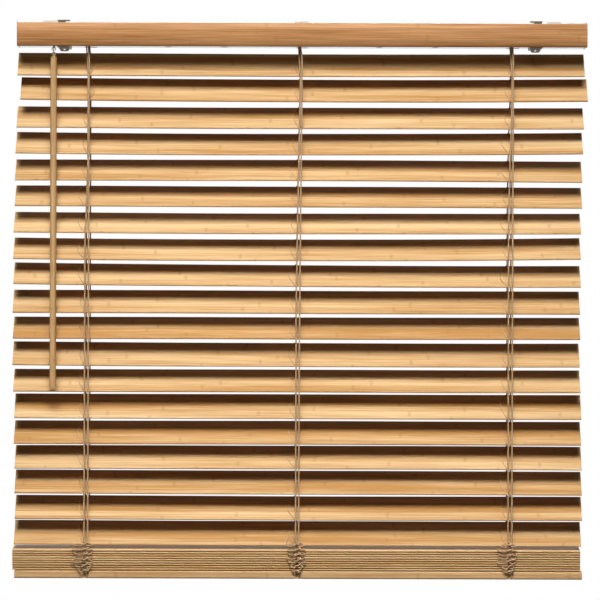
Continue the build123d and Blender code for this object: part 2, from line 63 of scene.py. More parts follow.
# Settings
class BlindSizes(PropertyGroup):
    """Sizes of the blind's pieces"""
    slat_length: FloatProperty(name="Slat length", description="Length of each slat", default=0.9015, unit="LENGTH")
    slat_width: FloatProperty(name="Slat width", description="Width of each slat", default=0.05, unit="LENGTH")
    slat_thickness: FloatProperty(name="Slat thickness", description="Thickness of each slat", default=0.0027,
                                  unit="LENGTH")
    slat_edge: FloatProperty(name="Slat edge", description="Rounding of a slat's long edges", default=0.0011,
                             unit="LENGTH")
    slat_tilt: FloatProperty(name="Slat tilt", description="Mean tilt of the hanging slats", default=radians(44),
                             subtype="ANGLE")
    tilt_drift: FloatProperty(name="Tilt drift", description="How far the tilt drifts down the blind",
                              default=radians(1.5), subtype="ANGLE")
    slat_warp: FloatProperty(name="Slat warp", description="How far a slat bows out of true", default=0.0005,
                             unit="LENGTH")
    slat_count: IntProperty(name="Slats", description="Number of slats", default=28)
    open_count: IntProperty(name="Hanging slats", description="Slats that hang in the ladders", default=19)
    stack_front: FloatProperty(name="Stack top", description="Height of the top stacked slat's front edge",
                               default=-0.8403, unit="LENGTH")
    stack_pitch: FloatProperty(name="Stack pitch", description="Spacing of the stacked slats", default=0.00366,
                               unit="LENGTH")
    stack_tilt: FloatProperty(name="Stack tilt", description="Tilt of the top stacked slat", default=radians(4.9),
                              subtype="ANGLE")
    valance_length: FloatProperty(name="Valance length", description="Length of the valance", default=0.903,
                                  unit="LENGTH")
    valance_bulge: FloatProperty(name="Valance bulge", description="Radius of the valance's bulging front",
                                 default=0.044, unit="LENGTH")
    stations: FloatVectorProperty(name="Ladders", description="Places of the three ladders along the blind",
                                  default=(-0.334, 0.003, 0.34), unit="LENGTH")
    ladder_offset: FloatProperty(name="Ladder offset", description="Ladder string beside its drum's middle",
                                 default=-0.0064, unit="LENGTH")
    lift_offset: FloatProperty(name="Lift offset", description="Lift cord beside its drum's middle",
                               default=-0.0018, unit="LENGTH")
    groove_offset: FloatProperty(name="Groove offset", description="Bottom rail's groove beside its station",
                                 default=-0.0041, unit="LENGTH")
    cord_radius: FloatProperty(name="Cord radius", description="Radius of ladder strings and lift cords",
                               default=0.00115, unit="LENGTH")
    rung_radius: FloatProperty(name="Rung radius", description="Radius of the ladders' rungs", default=0.0007,
                               unit="LENGTH")
    rung_bow: FloatProperty(name="Rung bow", description="How far the loose upper rungs bow sideways",
                            default=0.0115, unit="LENGTH")


class BlindColours(PropertyGroup):
    """Colours of the blind's finishes, as sRGB hex"""
    bamboo_pale: StringProperty(name="Bamboo, pale", description="Pale strips of the bamboo", default="#E9C795")
    bamboo_deep: StringProperty(name="Bamboo, deep", description="Deeper strips and fibres", default="#C08E54")
    bamboo_node: StringProperty(name="Bamboo, joints", description="Growth joints across the strips",
                                default="#AD7B46")
    board_pale: StringProperty(name="Valance, pale", description="Pale strips of the valance", default="#E0A975")
    board_deep: StringProperty(name="Valance, deep", description="Deep strips of the valance", default="#A66F3C")
    rail_pale: StringProperty(name="Rail, pale", description="Pale strips of the bottom rail", default="#E6BE8C")
    rail_deep: StringProperty(name="Rail, deep", description="Deep strips of the bottom rail", default="#B98A54")
    cord: StringProperty(name="Cord", description="Braided string", default="#DCB88A")
    # The cord's shade colour is painted shade: the darker colour in the grooves between the cord's strands
    cord_shade: StringProperty(name="Cord, shade", description="Between the cord's strands", default="#8F6A42")
    steel: StringProperty(name="Coated steel", description="Headrail and valance clips", default="#DEDAD2")
    # The bracket colour is painted shade: the brackets and latches are coloured dark grey-brown to stand in for the
    # shadow and dark reflections on them
    bracket: StringProperty(name="Bracket steel", description="Brackets and latches", default="#6B6459")
    plating: StringProperty(name="Plated steel", description="Tilt rod and the wand's link", default="#A39A8E")
    plastic: StringProperty(name="Moulded plastic", description="Caps, drums and housings", default="#B08A5A")
    floor: StringProperty(name="Floor", description="Floor under the blind", default="#F4F4F2")


# Materials
def linear(code):
    """An sRGB hex value as linear red, green, blue and alpha."""
    channels = [int(code[i:i + 2], 16) / 255 for i in (1, 3, 5)]
    return (*[c / 12.92 if c <= 0.04045 else ((c + 0.055) / 1.055) ** 2.4 for c in channels], 1.0)


def add(tree, kind, links=(), **settings):
    """Adds a node. A setting is an input by name, a property, or a ramp's stops; a link is (input, socket)."""
    made = tree.nodes.new(kind)
    for key, value in settings.items():
        if key == "stops":
            while len(made.color_ramp.elements) < len(value):
                made.color_ramp.elements.new(0.5)
            for stop, (place, colour) in zip(made.color_ramp.elements, value):
                stop.position, stop.color = place, colour
        elif hasattr(made, key):
            setattr(made, key, value)
        else:
            made.inputs[key.replace("_", " ")].default_value = value
    for name, socket in links:
        tree.links.new(socket, made.inputs[name])
    return made


def new_material(name):
    """An empty node material with its shader, ready for a finish."""
    material = bpy.data.materials.new(name)
    material.use_nodes = True
    tree = material.node_tree
    return material, tree, tree.nodes["Principled BSDF"]


def bamboo(name, along, across, pale, deep, joint, roughness=0.46):
    """Lacquered bamboo laminate: fine straight fibres, strips of slightly different tone, faint growth joints."""
    material, tree, shader = new_material(name)
    place = add(tree, "ShaderNodeTexCoord").outputs["UV" if along == "UV" else "Object"]
    split = add(tree, "ShaderNodeSeparateXYZ", [("Vector", place)])
    if along == "UV":
        length, width, depth = split.outputs["X"], split.outputs["Y"], split.outputs["Z"]
    else:
        length = split.outputs[along]
        others = [axis for axis in "XYZ" if axis != along]
        width = add(tree, "ShaderNodeMath", [(0, split.outputs[others[0]]), (1, split.outputs[others[1]])],
                    operation="ADD").outputs[0]
        depth = split.outputs[others[0]]
    # Strips as sawn from the culm's wall: "across" is the width of one
    strip = add(tree, "ShaderNodeMath", [(0, width)], operation="DIVIDE")
    strip.inputs[1].default_value = across
    whole = add(tree, "ShaderNodeMath", [(0, strip.outputs[0])], operation="FLOOR")
    tone = add(tree, "ShaderNodeTexWhiteNoise", [("W", whole.outputs[0])], noise_dimensions="1D")
    # Fibres are about 0.6 mm apart; they are drawn 1.2 mm apart so that they show
    fibre_place = add(tree, "ShaderNodeCombineXYZ", [("X", length), ("Y", width), ("Z", depth)])
    stretched = add(tree, "ShaderNodeMapping", [("Vector", fibre_place.outputs[0])], Scale=(9, 420, 420))
    fibre = add(tree, "ShaderNodeTexNoise", [("Vector", stretched.outputs[0])], Scale=1.0, Detail=4.0, Roughness=0.6)
    wide = add(tree, "ShaderNodeMapping", [("Vector", fibre_place.outputs[0])], Scale=(2.2, 60, 60))
    cloud = add(tree, "ShaderNodeTexNoise", [("Vector", wide.outputs[0])], Scale=1.0, Detail=2.0)
    mixed = add(tree, "ShaderNodeMath", [(0, fibre.outputs["Fac"]), (1, cloud.outputs["Fac"])], operation="ADD")
    toned = add(tree, "ShaderNodeMath", [(0, tone.outputs["Value"]), (2, mixed.outputs[0])],
                operation="MULTIPLY_ADD")
    toned.inputs[1].default_value = 0.35
    # Each slat is cut from its own batch, so some are paler and some deeper
    batch = add(tree, "ShaderNodeAttribute", attribute_name="tone")
    shade = add(tree, "ShaderNodeMath", [(0, toned.outputs[0]), (1, batch.outputs["Fac"])], operation="ADD")
    scaled = add(tree, "ShaderNodeMath", [(0, shade.outputs[0])], operation="MULTIPLY")
    scaled.inputs[1].default_value = 0.62
    body = add(tree, "ShaderNodeValToRGB", [("Fac", scaled.outputs[0])],
               stops=[(0.5, linear(pale)), (0.88, linear(deep))])
    # Growth joints stand 0.24 m apart on each strip, each strip at its own place
    shifted = add(tree, "ShaderNodeMath", [(0, tone.outputs["Value"]), (1, length)], operation="ADD")
    along_strip = add(tree, "ShaderNodeMath", [(0, shifted.outputs[0])], operation="PINGPONG")
    along_strip.inputs[1].default_value = 0.12
    band = add(tree, "ShaderNodeValToRGB", [("Fac", along_strip.outputs[0])],
               stops=[(0.0, (0.34, 0.34, 0.34, 1)), (0.0009, (0.22, 0.22, 0.22, 1)), (0.0024, (0, 0, 0, 1))])
    colour = add(tree, "ShaderNodeMix", [("Factor", band.outputs["Color"])], data_type="RGBA")
    tree.links.new(body.outputs["Color"], colour.inputs[6])
    colour.inputs[7].default_value = linear(joint)
    tree.links.new(colour.outputs[2], shader.inputs["Base Color"])
    rough = add(tree, "ShaderNodeMapRange", [("Value", fibre.outputs["Fac"])], To_Min=roughness - 0.06,
                To_Max=roughness + 0.1)
    tree.links.new(rough.outputs["Result"], shader.inputs["Roughness"])
    bump = add(tree, "ShaderNodeBump", [("Height", fibre.outputs["Fac"])], Strength=0.12, Distance=0.0002)
    tree.links.new(bump.outputs["Normal"], shader.inputs["Normal"])
    shader.inputs["IOR"].default_value = 1.46
    shader.inputs["Specular IOR Level"].default_value = 0.07
    shader.inputs["Coat Weight"].default_value = 0.01
    shader.inputs["Coat Roughness"].default_value = 0.3
    return material


def braid(name, light, groove_shade):
    """Braided polyester string: its plaits read as a fine slanting twist, drawn 3 mm long so that it shows; the
    darker colour between the plaits is painted shade.
    """
    material, tree, shader = new_material(name)
    place = add(tree, "ShaderNodeTexCoord").outputs["Object"]
    twist = add(tree, "ShaderNodeTexWave", [("Vector", place)], wave_type="BANDS", bands_direction="DIAGONAL",
                Scale=330.0, Distortion=2.0, Detail=1.0)
    fluff = add(tree, "ShaderNodeTexNoise", [("Vector", place)], Scale=900.0, Detail=3.0)
    both = add(tree, "ShaderNodeMath", [(0, twist.outputs["Fac"]), (1, fluff.outputs["Fac"])], operation="MULTIPLY")
    # Where the twist bands and fluff are low, the colour goes to the painted shade of the grooves between the strands
    ramp = add(tree, "ShaderNodeValToRGB", [("Fac", both.outputs[0])],
               stops=[(0.02, linear(groove_shade)), (0.3, linear(light))])
    tree.links.new(ramp.outputs["Color"], shader.inputs["Base Color"])
    bump = add(tree, "ShaderNodeBump", [("Height", both.outputs[0])], Strength=0.5, Distance=0.0003)
    tree.links.new(bump.outputs["Normal"], shader.inputs["Normal"])
    shader.inputs["Roughness"].default_value = 0.8
    shader.inputs["Sheen Weight"].default_value = 0.2
    return material


def coated_steel(name, code):
    """Stove-enamelled sheet steel: smooth satin paint with a very fine orange peel."""
    material, tree, shader = new_material(name)
    place = add(tree, "ShaderNodeTexCoord").outputs["Object"]
    peel = add(tree, "ShaderNodeTexNoise", [("Vector", place)], Scale=700.0, Detail=2.0)
    tint = add(tree, "ShaderNodeTexNoise", [("Vector", place)], Scale=14.0, Detail=2.0)
    base = linear(code)
    ramp = add(tree, "ShaderNodeValToRGB", [("Fac", tint.outputs["Fac"])],
               stops=[(0.3, tuple(c * 0.93 for c in base[:3]) + (1,)), (0.7, base)])
    tree.links.new(ramp.outputs["Color"], shader.inputs["Base Color"])
    bump = add(tree, "ShaderNodeBump", [("Height", peel.outputs["Fac"])], Strength=0.06, Distance=0.0002)
    tree.links.new(bump.outputs["Normal"], shader.inputs["Normal"])
    shader.inputs["Roughness"].default_value = 0.25
    shader.inputs["Coat Weight"].default_value = 0.8
    shader.inputs["Coat Roughness"].default_value = 0.12
    return material


def plated_steel(name, code):
    """Zinc-plated drawn steel: metallic, with fine drawing marks and a soft satin gloss."""
    material, tree, shader = new_material(name)
    place = add(tree, "ShaderNodeTexCoord").outputs["Object"]
    drawn = add(tree, "ShaderNodeMapping", [("Vector", place)], Scale=(40, 900, 900))
    marks = add(tree, "ShaderNodeTexNoise", [("Vector", drawn.outputs[0])], Scale=1.0, Detail=3.0)
    base = linear(code)
    ramp = add(tree, "ShaderNodeValToRGB", [("Fac", marks.outputs["Fac"])],
               stops=[(0.3, tuple(c * 0.75 for c in base[:3]) + (1,)), (0.7, base)])
    tree.links.new(ramp.outputs["Color"], shader.inputs["Base Color"])
    rough = add(tree, "ShaderNodeMapRange", [("Value", marks.outputs["Fac"])], To_Min=0.28, To_Max=0.45)
    tree.links.new(rough.outputs["Result"], shader.inputs["Roughness"])
    shader.inputs["Metallic"].default_value = 1.0
    return material


def moulded_plastic(name, code):
    """Injection-moulded plastic: even colour and a fine spark-eroded texture."""
    material, tree, shader = new_material(name)
    place = add(tree, "ShaderNodeTexCoord").outputs["Object"]
    grit = add(tree, "ShaderNodeTexNoise", [("Vector", place)], Scale=1400.0, Detail=2.0)
    base = linear(code)
    ramp = add(tree, "ShaderNodeValToRGB", [("Fac", grit.outputs["Fac"])],
               stops=[(0.25, tuple(c * 0.85 for c in base[:3]) + (1,)), (0.75, base)])
    tree.links.new(ramp.outputs["Color"], shader.inputs["Base Color"])
    bump = add(tree, "ShaderNodeBump", [("Height", grit.outputs["Fac"])], Strength=0.15, Distance=0.0002)
    tree.links.new(bump.outputs["Normal"], shader.inputs["Normal"])
    shader.inputs["Roughness"].default_value = 0.5
    shader.inputs["IOR"].default_value = 1.5
    return material


finishes = {}


def finish_named(name):
    """One of the blind's finishes, made when it is first asked for."""
    if name not in finishes:
        c = bpy.context.scene.blind_colours
        makers = {
            "slat": lambda: bamboo("Lacquered bamboo slat", "UV", 0.0098, c.bamboo_pale, c.bamboo_deep,
                                   c.bamboo_node),
            "board": lambda: bamboo("Lacquered bamboo board", "X", 0.0125, c.board_pale, c.board_deep,
                                    c.bamboo_node, 0.38),
            "rail": lambda: bamboo("Lacquered bamboo rail", "X", 0.0125, c.rail_pale, c.rail_deep, c.bamboo_node),
            "stick": lambda: bamboo("Lacquered bamboo stick", "Z", 0.0047, c.bamboo_pale, c.bamboo_deep,
                                    c.bamboo_node),
            "cord": lambda: braid("Braided polyester string", c.cord, c.cord_shade),
            "steel": lambda: coated_steel("Stove-enamelled steel", c.steel),
            # The brackets' dark colour is painted shade on zinc-plated steel, not a blackened finish
            "bracket": lambda: plated_steel("Zinc-plated steel darkened as painted shade", c.bracket),
            "plating": lambda: plated_steel("Zinc-plated steel", c.plating),
            "plastic": lambda: moulded_plastic("Moulded nylon", c.plastic),
        }
        finishes[name] = makers[name]()
    return finishes[name]


# Making pieces
def clear_selection():
    """Nothing is selected, so that the next operator acts on its own piece."""
    if bpy.context.object and bpy.context.object.mode != "OBJECT":
        bpy.ops.object.mode_set(mode="OBJECT")
    bpy.ops.object.select_all(action="DESELECT")


def make_active(obj):
    clear_selection()
    obj.select_set(True)
    bpy.context.view_layer.objects.active = obj


def settle(obj, name, finish, body, slot, *nodes):
    """Names a finished piece, gives it its material, its body and the nodes that it stands for."""
    obj.name = obj.data.name = name
    obj.data.materials.clear()
    obj.data.materials.append(finish_named(finish))
    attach(obj, body)
    if nodes:
        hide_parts(*nodes)
    return obj


def dress(node, finish):
    """Gives a CAD node its finish."""
    mesh = frame["nodes"][node].data
    mesh.materials.clear()
    mesh.materials.append(finish_named(finish))


def strings(runs, radius, resolution=1, cyclic=False):
    """Cords as one mesh: each run is a smooth spline through space, swept with a round section."""
    clear_selection()
    curve = bpy.data.curves.new("strings", "CURVE")
    curve.dimensions = "3D"
    curve.bevel_depth = radius
    curve.bevel_resolution = resolution
    curve.use_fill_caps = not cyclic
    for run in runs:
        spline = curve.splines.new("NURBS")
        spline.points.add(len(run) - 1)
        for point, place in zip(spline.points, run):
            point.co = (*place, 1.0)
        spline.order_u = 3
        spline.use_endpoint_u = not cyclic
        spline.use_cyclic_u = cyclic
        spline.resolution_u = 4
    obj = bpy.data.objects.new("strings", curve)
    bpy.context.scene.collection.objects.link(obj)
    make_active(obj)
    bpy.ops.object.convert(target="MESH")
    obj = bpy.context.object
    bpy.ops.object.shade_smooth()
    return obj


def join(objects):
    """Several pieces become one mesh."""
    clear_selection()
    for obj in objects:
        obj.select_set(True)
    bpy.context.view_layer.objects.active = objects[0]
    bpy.ops.object.join()
    return bpy.context.object


# Slats
# How each slat of the photographed blind lies out of true: extra tilt in degrees, then in millimetres its height,
# how far its ends bow up, how far its right end is up and how far it has slid to the right
lies = {
    1: (4.8, 0.0, 0.9, 0.0, -0.6), 2: (4.5, 1.3, 2.2, -0.4, -1.8), 3: (1.0, -0.5, 0.5, 0.0, -0.6),
    4: (1.4, -0.8, 2.3, 0.7, 3.6), 5: (0.0, -0.2, -0.9, -0.4, 4.0), 6: (-1.0, -0.4, -0.2, -0.5, 1.8),
    7: (-1.8, -1.7, 1.2, 0.0, 1.6), 8: (0.0, -1.7, 2.4, 0.8, 1.2), 9: (-0.2, -1.0, 1.4, -1.5, 0.0),
    10: (3.0, -1.4, 0.4, -0.3, 1.0), 11: (-0.4, -1.1, 0.3, 0.2, 0.3), 12: (3.6, -1.3, 0.8, -0.5, -0.9),
    13: (-0.2, -1.4, 0.2, 0.0, 2.3), 14: (4.8, -0.4, 0.2, 0.0, 2.0), 15: (0.8, -0.3, 0.0, 0.0, 2.3),
    16: (0.0, -0.1, -0.4, 0.0, 4.6), 17: (0.0, -1.0, 0.3, -0.4, 2.6), 18: (0.4, -2.2, 0.5, -0.2, 5.0),
    19: (1.6, -3.0, 0.2, -0.3, 3.2),
}
# How far the stacked slats have slid to the right, in millimetres
stack_slid = 2.2
# Slats that stand out as deeper or paler
tones = {2: 0.1, 5: 0.04, 7: -0.09, 8: 0.05, 11: 0.1, 12: -0.08, 15: 0.07, 17: 0.05, 22: 0.08, 25: -0.06}


def slat_lie(number, x):
    """How far out of its plane a slat lies at a place along it."""
    s = bpy.context.scene.blind_sizes
    bow, roll = lies.get(number, (0, 0, 0, 0))[2:4]
    way = x / (s.slat_length / 2)
    return (bow * way * way + roll * way) * 0.001 / cos(s.slat_tilt)


def slat_pose(number):
    """Height and tilt of a slat: hanging ones come from their joints, stacked ones from the stack's sizes."""
    s = bpy.context.scene.blind_sizes
    if number <= s.open_count:
        name = "slat_tilt" if number == 1 else f"slat_{number:02d}_tilt"
        tilt = s.slat_tilt - s.tilt_drift * cos(pi * (number - 6) / (s.open_count - 6))
        extra, rise = lies.get(number, (0, 0, 0, 0))[:2]
        return joint_places[name][2] + rise * 0.001, tilt + radians(extra)
    step = number - s.open_count - 1
    tilt = s.stack_tilt * (1 - step / (s.slat_count - s.open_count - 1))
    front = s.stack_front - step * s.stack_pitch
    return front + s.slat_width / 2 * sin(tilt) - s.slat_thickness / 2 * cos(tilt), tilt


def plain_slat():
    """One flat slat with rounded long edges, cut along its length so that it can bow."""
    s = bpy.context.scene.blind_sizes
    clear_selection()
    bpy.ops.mesh.primitive_cube_add(size=1, location=(0, 0, 0))
    slat = bpy.context.object
    slat.scale = (s.slat_length, s.slat_width, s.slat_thickness)
    bpy.ops.object.transform_apply(location=False, rotation=False, scale=True)
    bpy.ops.object.mode_set(mode="EDIT")
    bpy.ops.mesh.select_mode(type="EDGE")
    bpy.ops.mesh.select_all(action="DESELECT")
    edit = bmesh.from_edit_mesh(slat.data)
    for edge in edit.edges:
        run = edge.verts[0].co - edge.verts[1].co
        edge.select_set(abs(run.x) > s.slat_length / 2)
    bmesh.update_edit_mesh(slat.data)
    bpy.ops.mesh.bevel(offset=s.slat_edge, segments=3, profile=0.5)
    bpy.ops.mesh.select_all(action="DESELECT")
    edit = bmesh.from_edit_mesh(slat.data)
    for edge in edit.edges:
        run = edge.verts[0].co - edge.verts[1].co
        edge.select_set(abs(run.x) > s.slat_length / 2)
    bmesh.update_edit_mesh(slat.data)
    bpy.ops.mesh.subdivide(number_cuts=23)
    bpy.ops.mesh.select_all(action="DESELECT")
    bpy.ops.object.mode_set(mode="OBJECT")
    bpy.ops.object.shade_smooth_by_angle(angle=radians(40))
    uv = slat.data.uv_layers[0] if slat.data.uv_layers else slat.data.uv_layers.new(name="UVMap")
    uv.name = "grain"
    for loop in slat.data.loops:
        place = slat.data.vertices[loop.vertex_index].co
        uv.data[loop.index].uv = (place.x, place.y + place.z * 2.5)
    return slat


class BLIND_OT_slats(Operator):
    """Makes the slats and lays each one in its ladders"""
    bl_idname = "blind.slats"
    bl_label = "Slats"

    def execute(self, context):
        s = context.scene.blind_sizes
        first = plain_slat()
        rng = random.Random(7)
        for number in range(1, s.slat_count + 1):
            node = f"slat_{number:02d}"
            low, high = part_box(node)
            height, tilt = slat_pose(number)
            slat = first.copy()
            slat.data = first.data.copy()
            context.scene.collection.objects.link(slat)
            bow, turn, phase = rng.uniform(-1, 1), rng.uniform(-1, 1), rng.uniform(0, 2 * pi)
            share = 0.3 if number > s.open_count else 1.0
            for vertex in slat.data.vertices:
                way = vertex.co.x / (s.slat_length / 2)
                wave = bow * (1 - way * way) + 0.4 * sin(5 * way + phase)
                vertex.co.z += s.slat_warp * share * wave + turn * share * 0.002 * way * vertex.co.y
                vertex.co.z += slat_lie(number, vertex.co.x)
            batch = slat.data.attributes.new("tone", "FLOAT", "POINT")
            for entry in batch.data:
                entry.value = tones.get(number, 0.015 * turn)
            for entry in slat.data.uv_layers["grain"].data:
                entry.uv = (entry.uv[0] + 1.31 * number, entry.uv[1] + 0.137 * number)
            slid = lies[number][4] if number in lies else stack_slid
            middle = ((low[0] + high[0]) / 2 + slid * 0.001, 0, height)
            slat.data.transform(Matrix.Translation(middle) @ Matrix.Rotation(tilt, 4, "X"))
            settle(slat, f"bamboo_{node}", "slat", node, "bamboo", node)
        bpy.data.objects.remove(first)
        return {"FINISHED"}


# The ladders wander sideways as they hang: heights and how far each ladder is off its drum's line, from left to right
wander = (
    ((-0.05, 0.0046), (-0.21, 0.0042), (-0.33, 0.0), (-0.9, 0.0)),
    ((-0.05, 0.0046), (-0.13, 0.0036), (-0.25, 0.0012), (-0.42, -0.0012), (-0.9, -0.0012)),
    ((-0.05, 0.0034), (-0.13, 0.0028), (-0.21, 0.0), (-0.3, -0.0014), (-0.9, -0.0008)),
)
lift_wander = (
    ((-0.05, 0.0015), (-0.9, 0.0015)),
    ((-0.05, 0.0024), (-0.3, 0.001), (-0.5, -0.0008), (-0.9, -0.0008)),
    ((-0.05, 0.0004), (-0.9, 0.0004)),
)


def sideways(points, z):
    """How far a cord is off its line at a height."""
    for (upper, a), (lower, b) in zip(points, points[1:]):
        if z >= lower:
            return a + (b - a) * min(max((upper - z) / (upper - lower), 0), 1)
    return points[-1][1]


class BLIND_OT_rungs(Operator):
    """Makes the ladders' rungs: a taut one under each slat and a loose one over it"""
    bl_idname = "blind.rungs"
    bl_label = "Rungs"

    def execute(self, context):
        s = context.scene.blind_sizes
        rng = random.Random(19)
        over = s.slat_thickness / 2 + 1.05 * s.rung_radius
        half = s.slat_width / 2
        for number in range(1, s.slat_count + 1):
            height, tilt = slat_pose(number)
            # The rungs of the stacked slats are pressed thin
            radius = s.rung_radius if number <= s.open_count else 0.65 * s.rung_radius
            under = s.slat_thickness / 2 + 0.8 * radius
            runs = []
            for index, station in enumerate(s.stations):
                x = station + s.ladder_offset + sideways(wander[index], height)
                turn = (Matrix.Translation((0, 0, height)) @ Matrix.Rotation(tilt, 4, "X")
                        @ Matrix.Translation((0, 0, slat_lie(number, x))))
                taut = [(x, -half - 0.0016, -under * 0.6), (x, -half + 0.0005, -under), (x, half - 0.0005, -under),
                        (x, half + 0.0014, -under * 0.6)]
                runs.append([turn @ Vector(p) for p in taut])
                if number <= s.open_count:
                    way = 1 if index == 0 and number <= 2 else -1
                    bow = way * s.rung_bow * rng.uniform(0.65, 1.1)
                    lean = rng.uniform(-0.004, 0.004)
                    loose = [(x, -half - 0.0022, -0.0004), (x + 0.05 * bow, -half - 0.0006, over + 0.0006),
                             (x + 0.5 * bow, -half * 0.72, over), (x + 1.05 * bow, -half * 0.25 + lean, over),
                             (x + 1.05 * bow, half * 0.3 + lean, over), (x + 0.45 * bow, half * 0.75, over),
                             (x + 0.05 * bow, half + 0.0004, over + 0.0004), (x, half + 0.0016, -0.0004)]
                    runs.append([turn @ Vector(p) for p in loose])
            rungs = strings(runs, radius)
            settle(rungs, f"rungs_{number:02d}", "cord", f"slat_{number:02d}", "cord")
        return {"FINISHED"}


# Cords
class BLIND_OT_ladders(Operator):
    """Makes the ladders' front and rear strings, with a knot at each rung, and their tails to the drums"""
    bl_idname = "blind.ladders"
    bl_label = "Ladder strings"

    def execute(self, context):
        s = context.scene.blind_sizes
        for side, name in ((-1, "front"), (1, "rear")):
            low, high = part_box(f"{name}_ladder_cords")
            y = (low[1] + high[1]) / 2
            runs, knots = [], []
            for index, station in enumerate(s.stations):
                line = station + s.ladder_offset
                run = [(line + sideways(wander[index], high[2]), y, high[2])]
                for number in range(1, s.open_count + 1):
                    height, tilt = slat_pose(number)
                    x = line + sideways(wander[index], height)
                    z = height + side * s.slat_width / 2 * sin(tilt) + slat_lie(number, x)
                    if number < s.open_count:
                        below = z - 0.04
                        run += [(x, y - side * 0.0003, z - 0.002), (x, y + side * 0.0003, (z + below) / 2)]
                    knots.append([(x - 0.0004, y, z + 0.0013), (x + 0.0003, y, z), (x - 0.0002, y, z - 0.0013)])
                run.append((line + sideways(wander[index], low[2]), y, low[2]))
                runs.append(run)
            cords = strings(runs, s.cord_radius, 2)
            tied = strings(knots, s.cord_radius * 1.35, 1)
            settle(join([cords, tied]), f"{name}_ladder_strings", "cord", f"{name}_ladder", "cord",
                   f"{name}_ladder_cords")
            low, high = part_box(f"{name}_ladder_tails")
            ends = sorted([low[1], high[1]], key=abs)
            r = s.cord_radius
            top_y, end_y = ends[0] + side * r, ends[1] - side * r
            tails = []
            for index, station in enumerate(s.stations):
                x = station + s.ladder_offset
                start = Vector((x, top_y, high[2]))
                end = Vector((x + sideways(wander[index], low[2]), end_y, low[2]))
                tails.append([start, start.lerp(end, 0.4) + Vector((0, side * 0.0003, 0)),
                              start.lerp(end, 0.7), end])
            settle(strings(tails, r, 2), f"{name}_ladder_ends", "cord", "headrail", "cord", f"{name}_ladder_tails")
        return {"FINISHED"}


class BLIND_OT_lift_cords(Operator):
    """Makes the lift cords from the spring motors down to the bottom rail"""
    bl_idname = "blind.lift_cords"
    bl_label = "Lift cords"

    def execute(self, context):
        s = context.scene.blind_sizes
        run_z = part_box("drum_cradle_left")[0][2] + 0.0098
        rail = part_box("bottom_rail")[0][2]
        left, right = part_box("spring_motor_left"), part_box("spring_motor_right")
        tab = 0.00795
        for side, name in ((-1, "front"), (1, "rear")):
            middle = left[1][0] - tab if side < 0 else right[0][0] + tab
            faces = (left[0][0] + tab, middle, right[1][0] - tab)
            runs = []
            for station, face, points in zip(s.stations, faces, lift_wander):
                x = station + s.lift_offset
                way = 1 if face > x else -1
                top, middle, low = (x + sideways(points, z) for z in (-0.06, -0.5, -0.87))
                runs.append([
                    (face, side * 0.0175, run_z), (x + way * 0.012, side * 0.0175, run_z),
                    (x, side * 0.0175, run_z), (x, side * 0.0177, run_z - 0.006), (x, side * 0.018, -0.0441),
                    (top, side * 0.0252, -0.0575), (top, side * 0.0264, -0.0775), (top, side * 0.0264, -0.12),
                    (middle, side * 0.0264, -0.5), (low, side * 0.0264, rail + 0.012),
                    (x, side * 0.0264, rail + 0.0015), (x, side * 0.021, rail + 0.0015),
                    (x, side * 0.0065, rail + 0.0015),
                ])
            settle(strings(runs, s.cord_radius, 2), f"{name}_lift_strings", "cord", "headrail", "cord",
                   f"{name}_lift_cords")
        return {"FINISHED"}


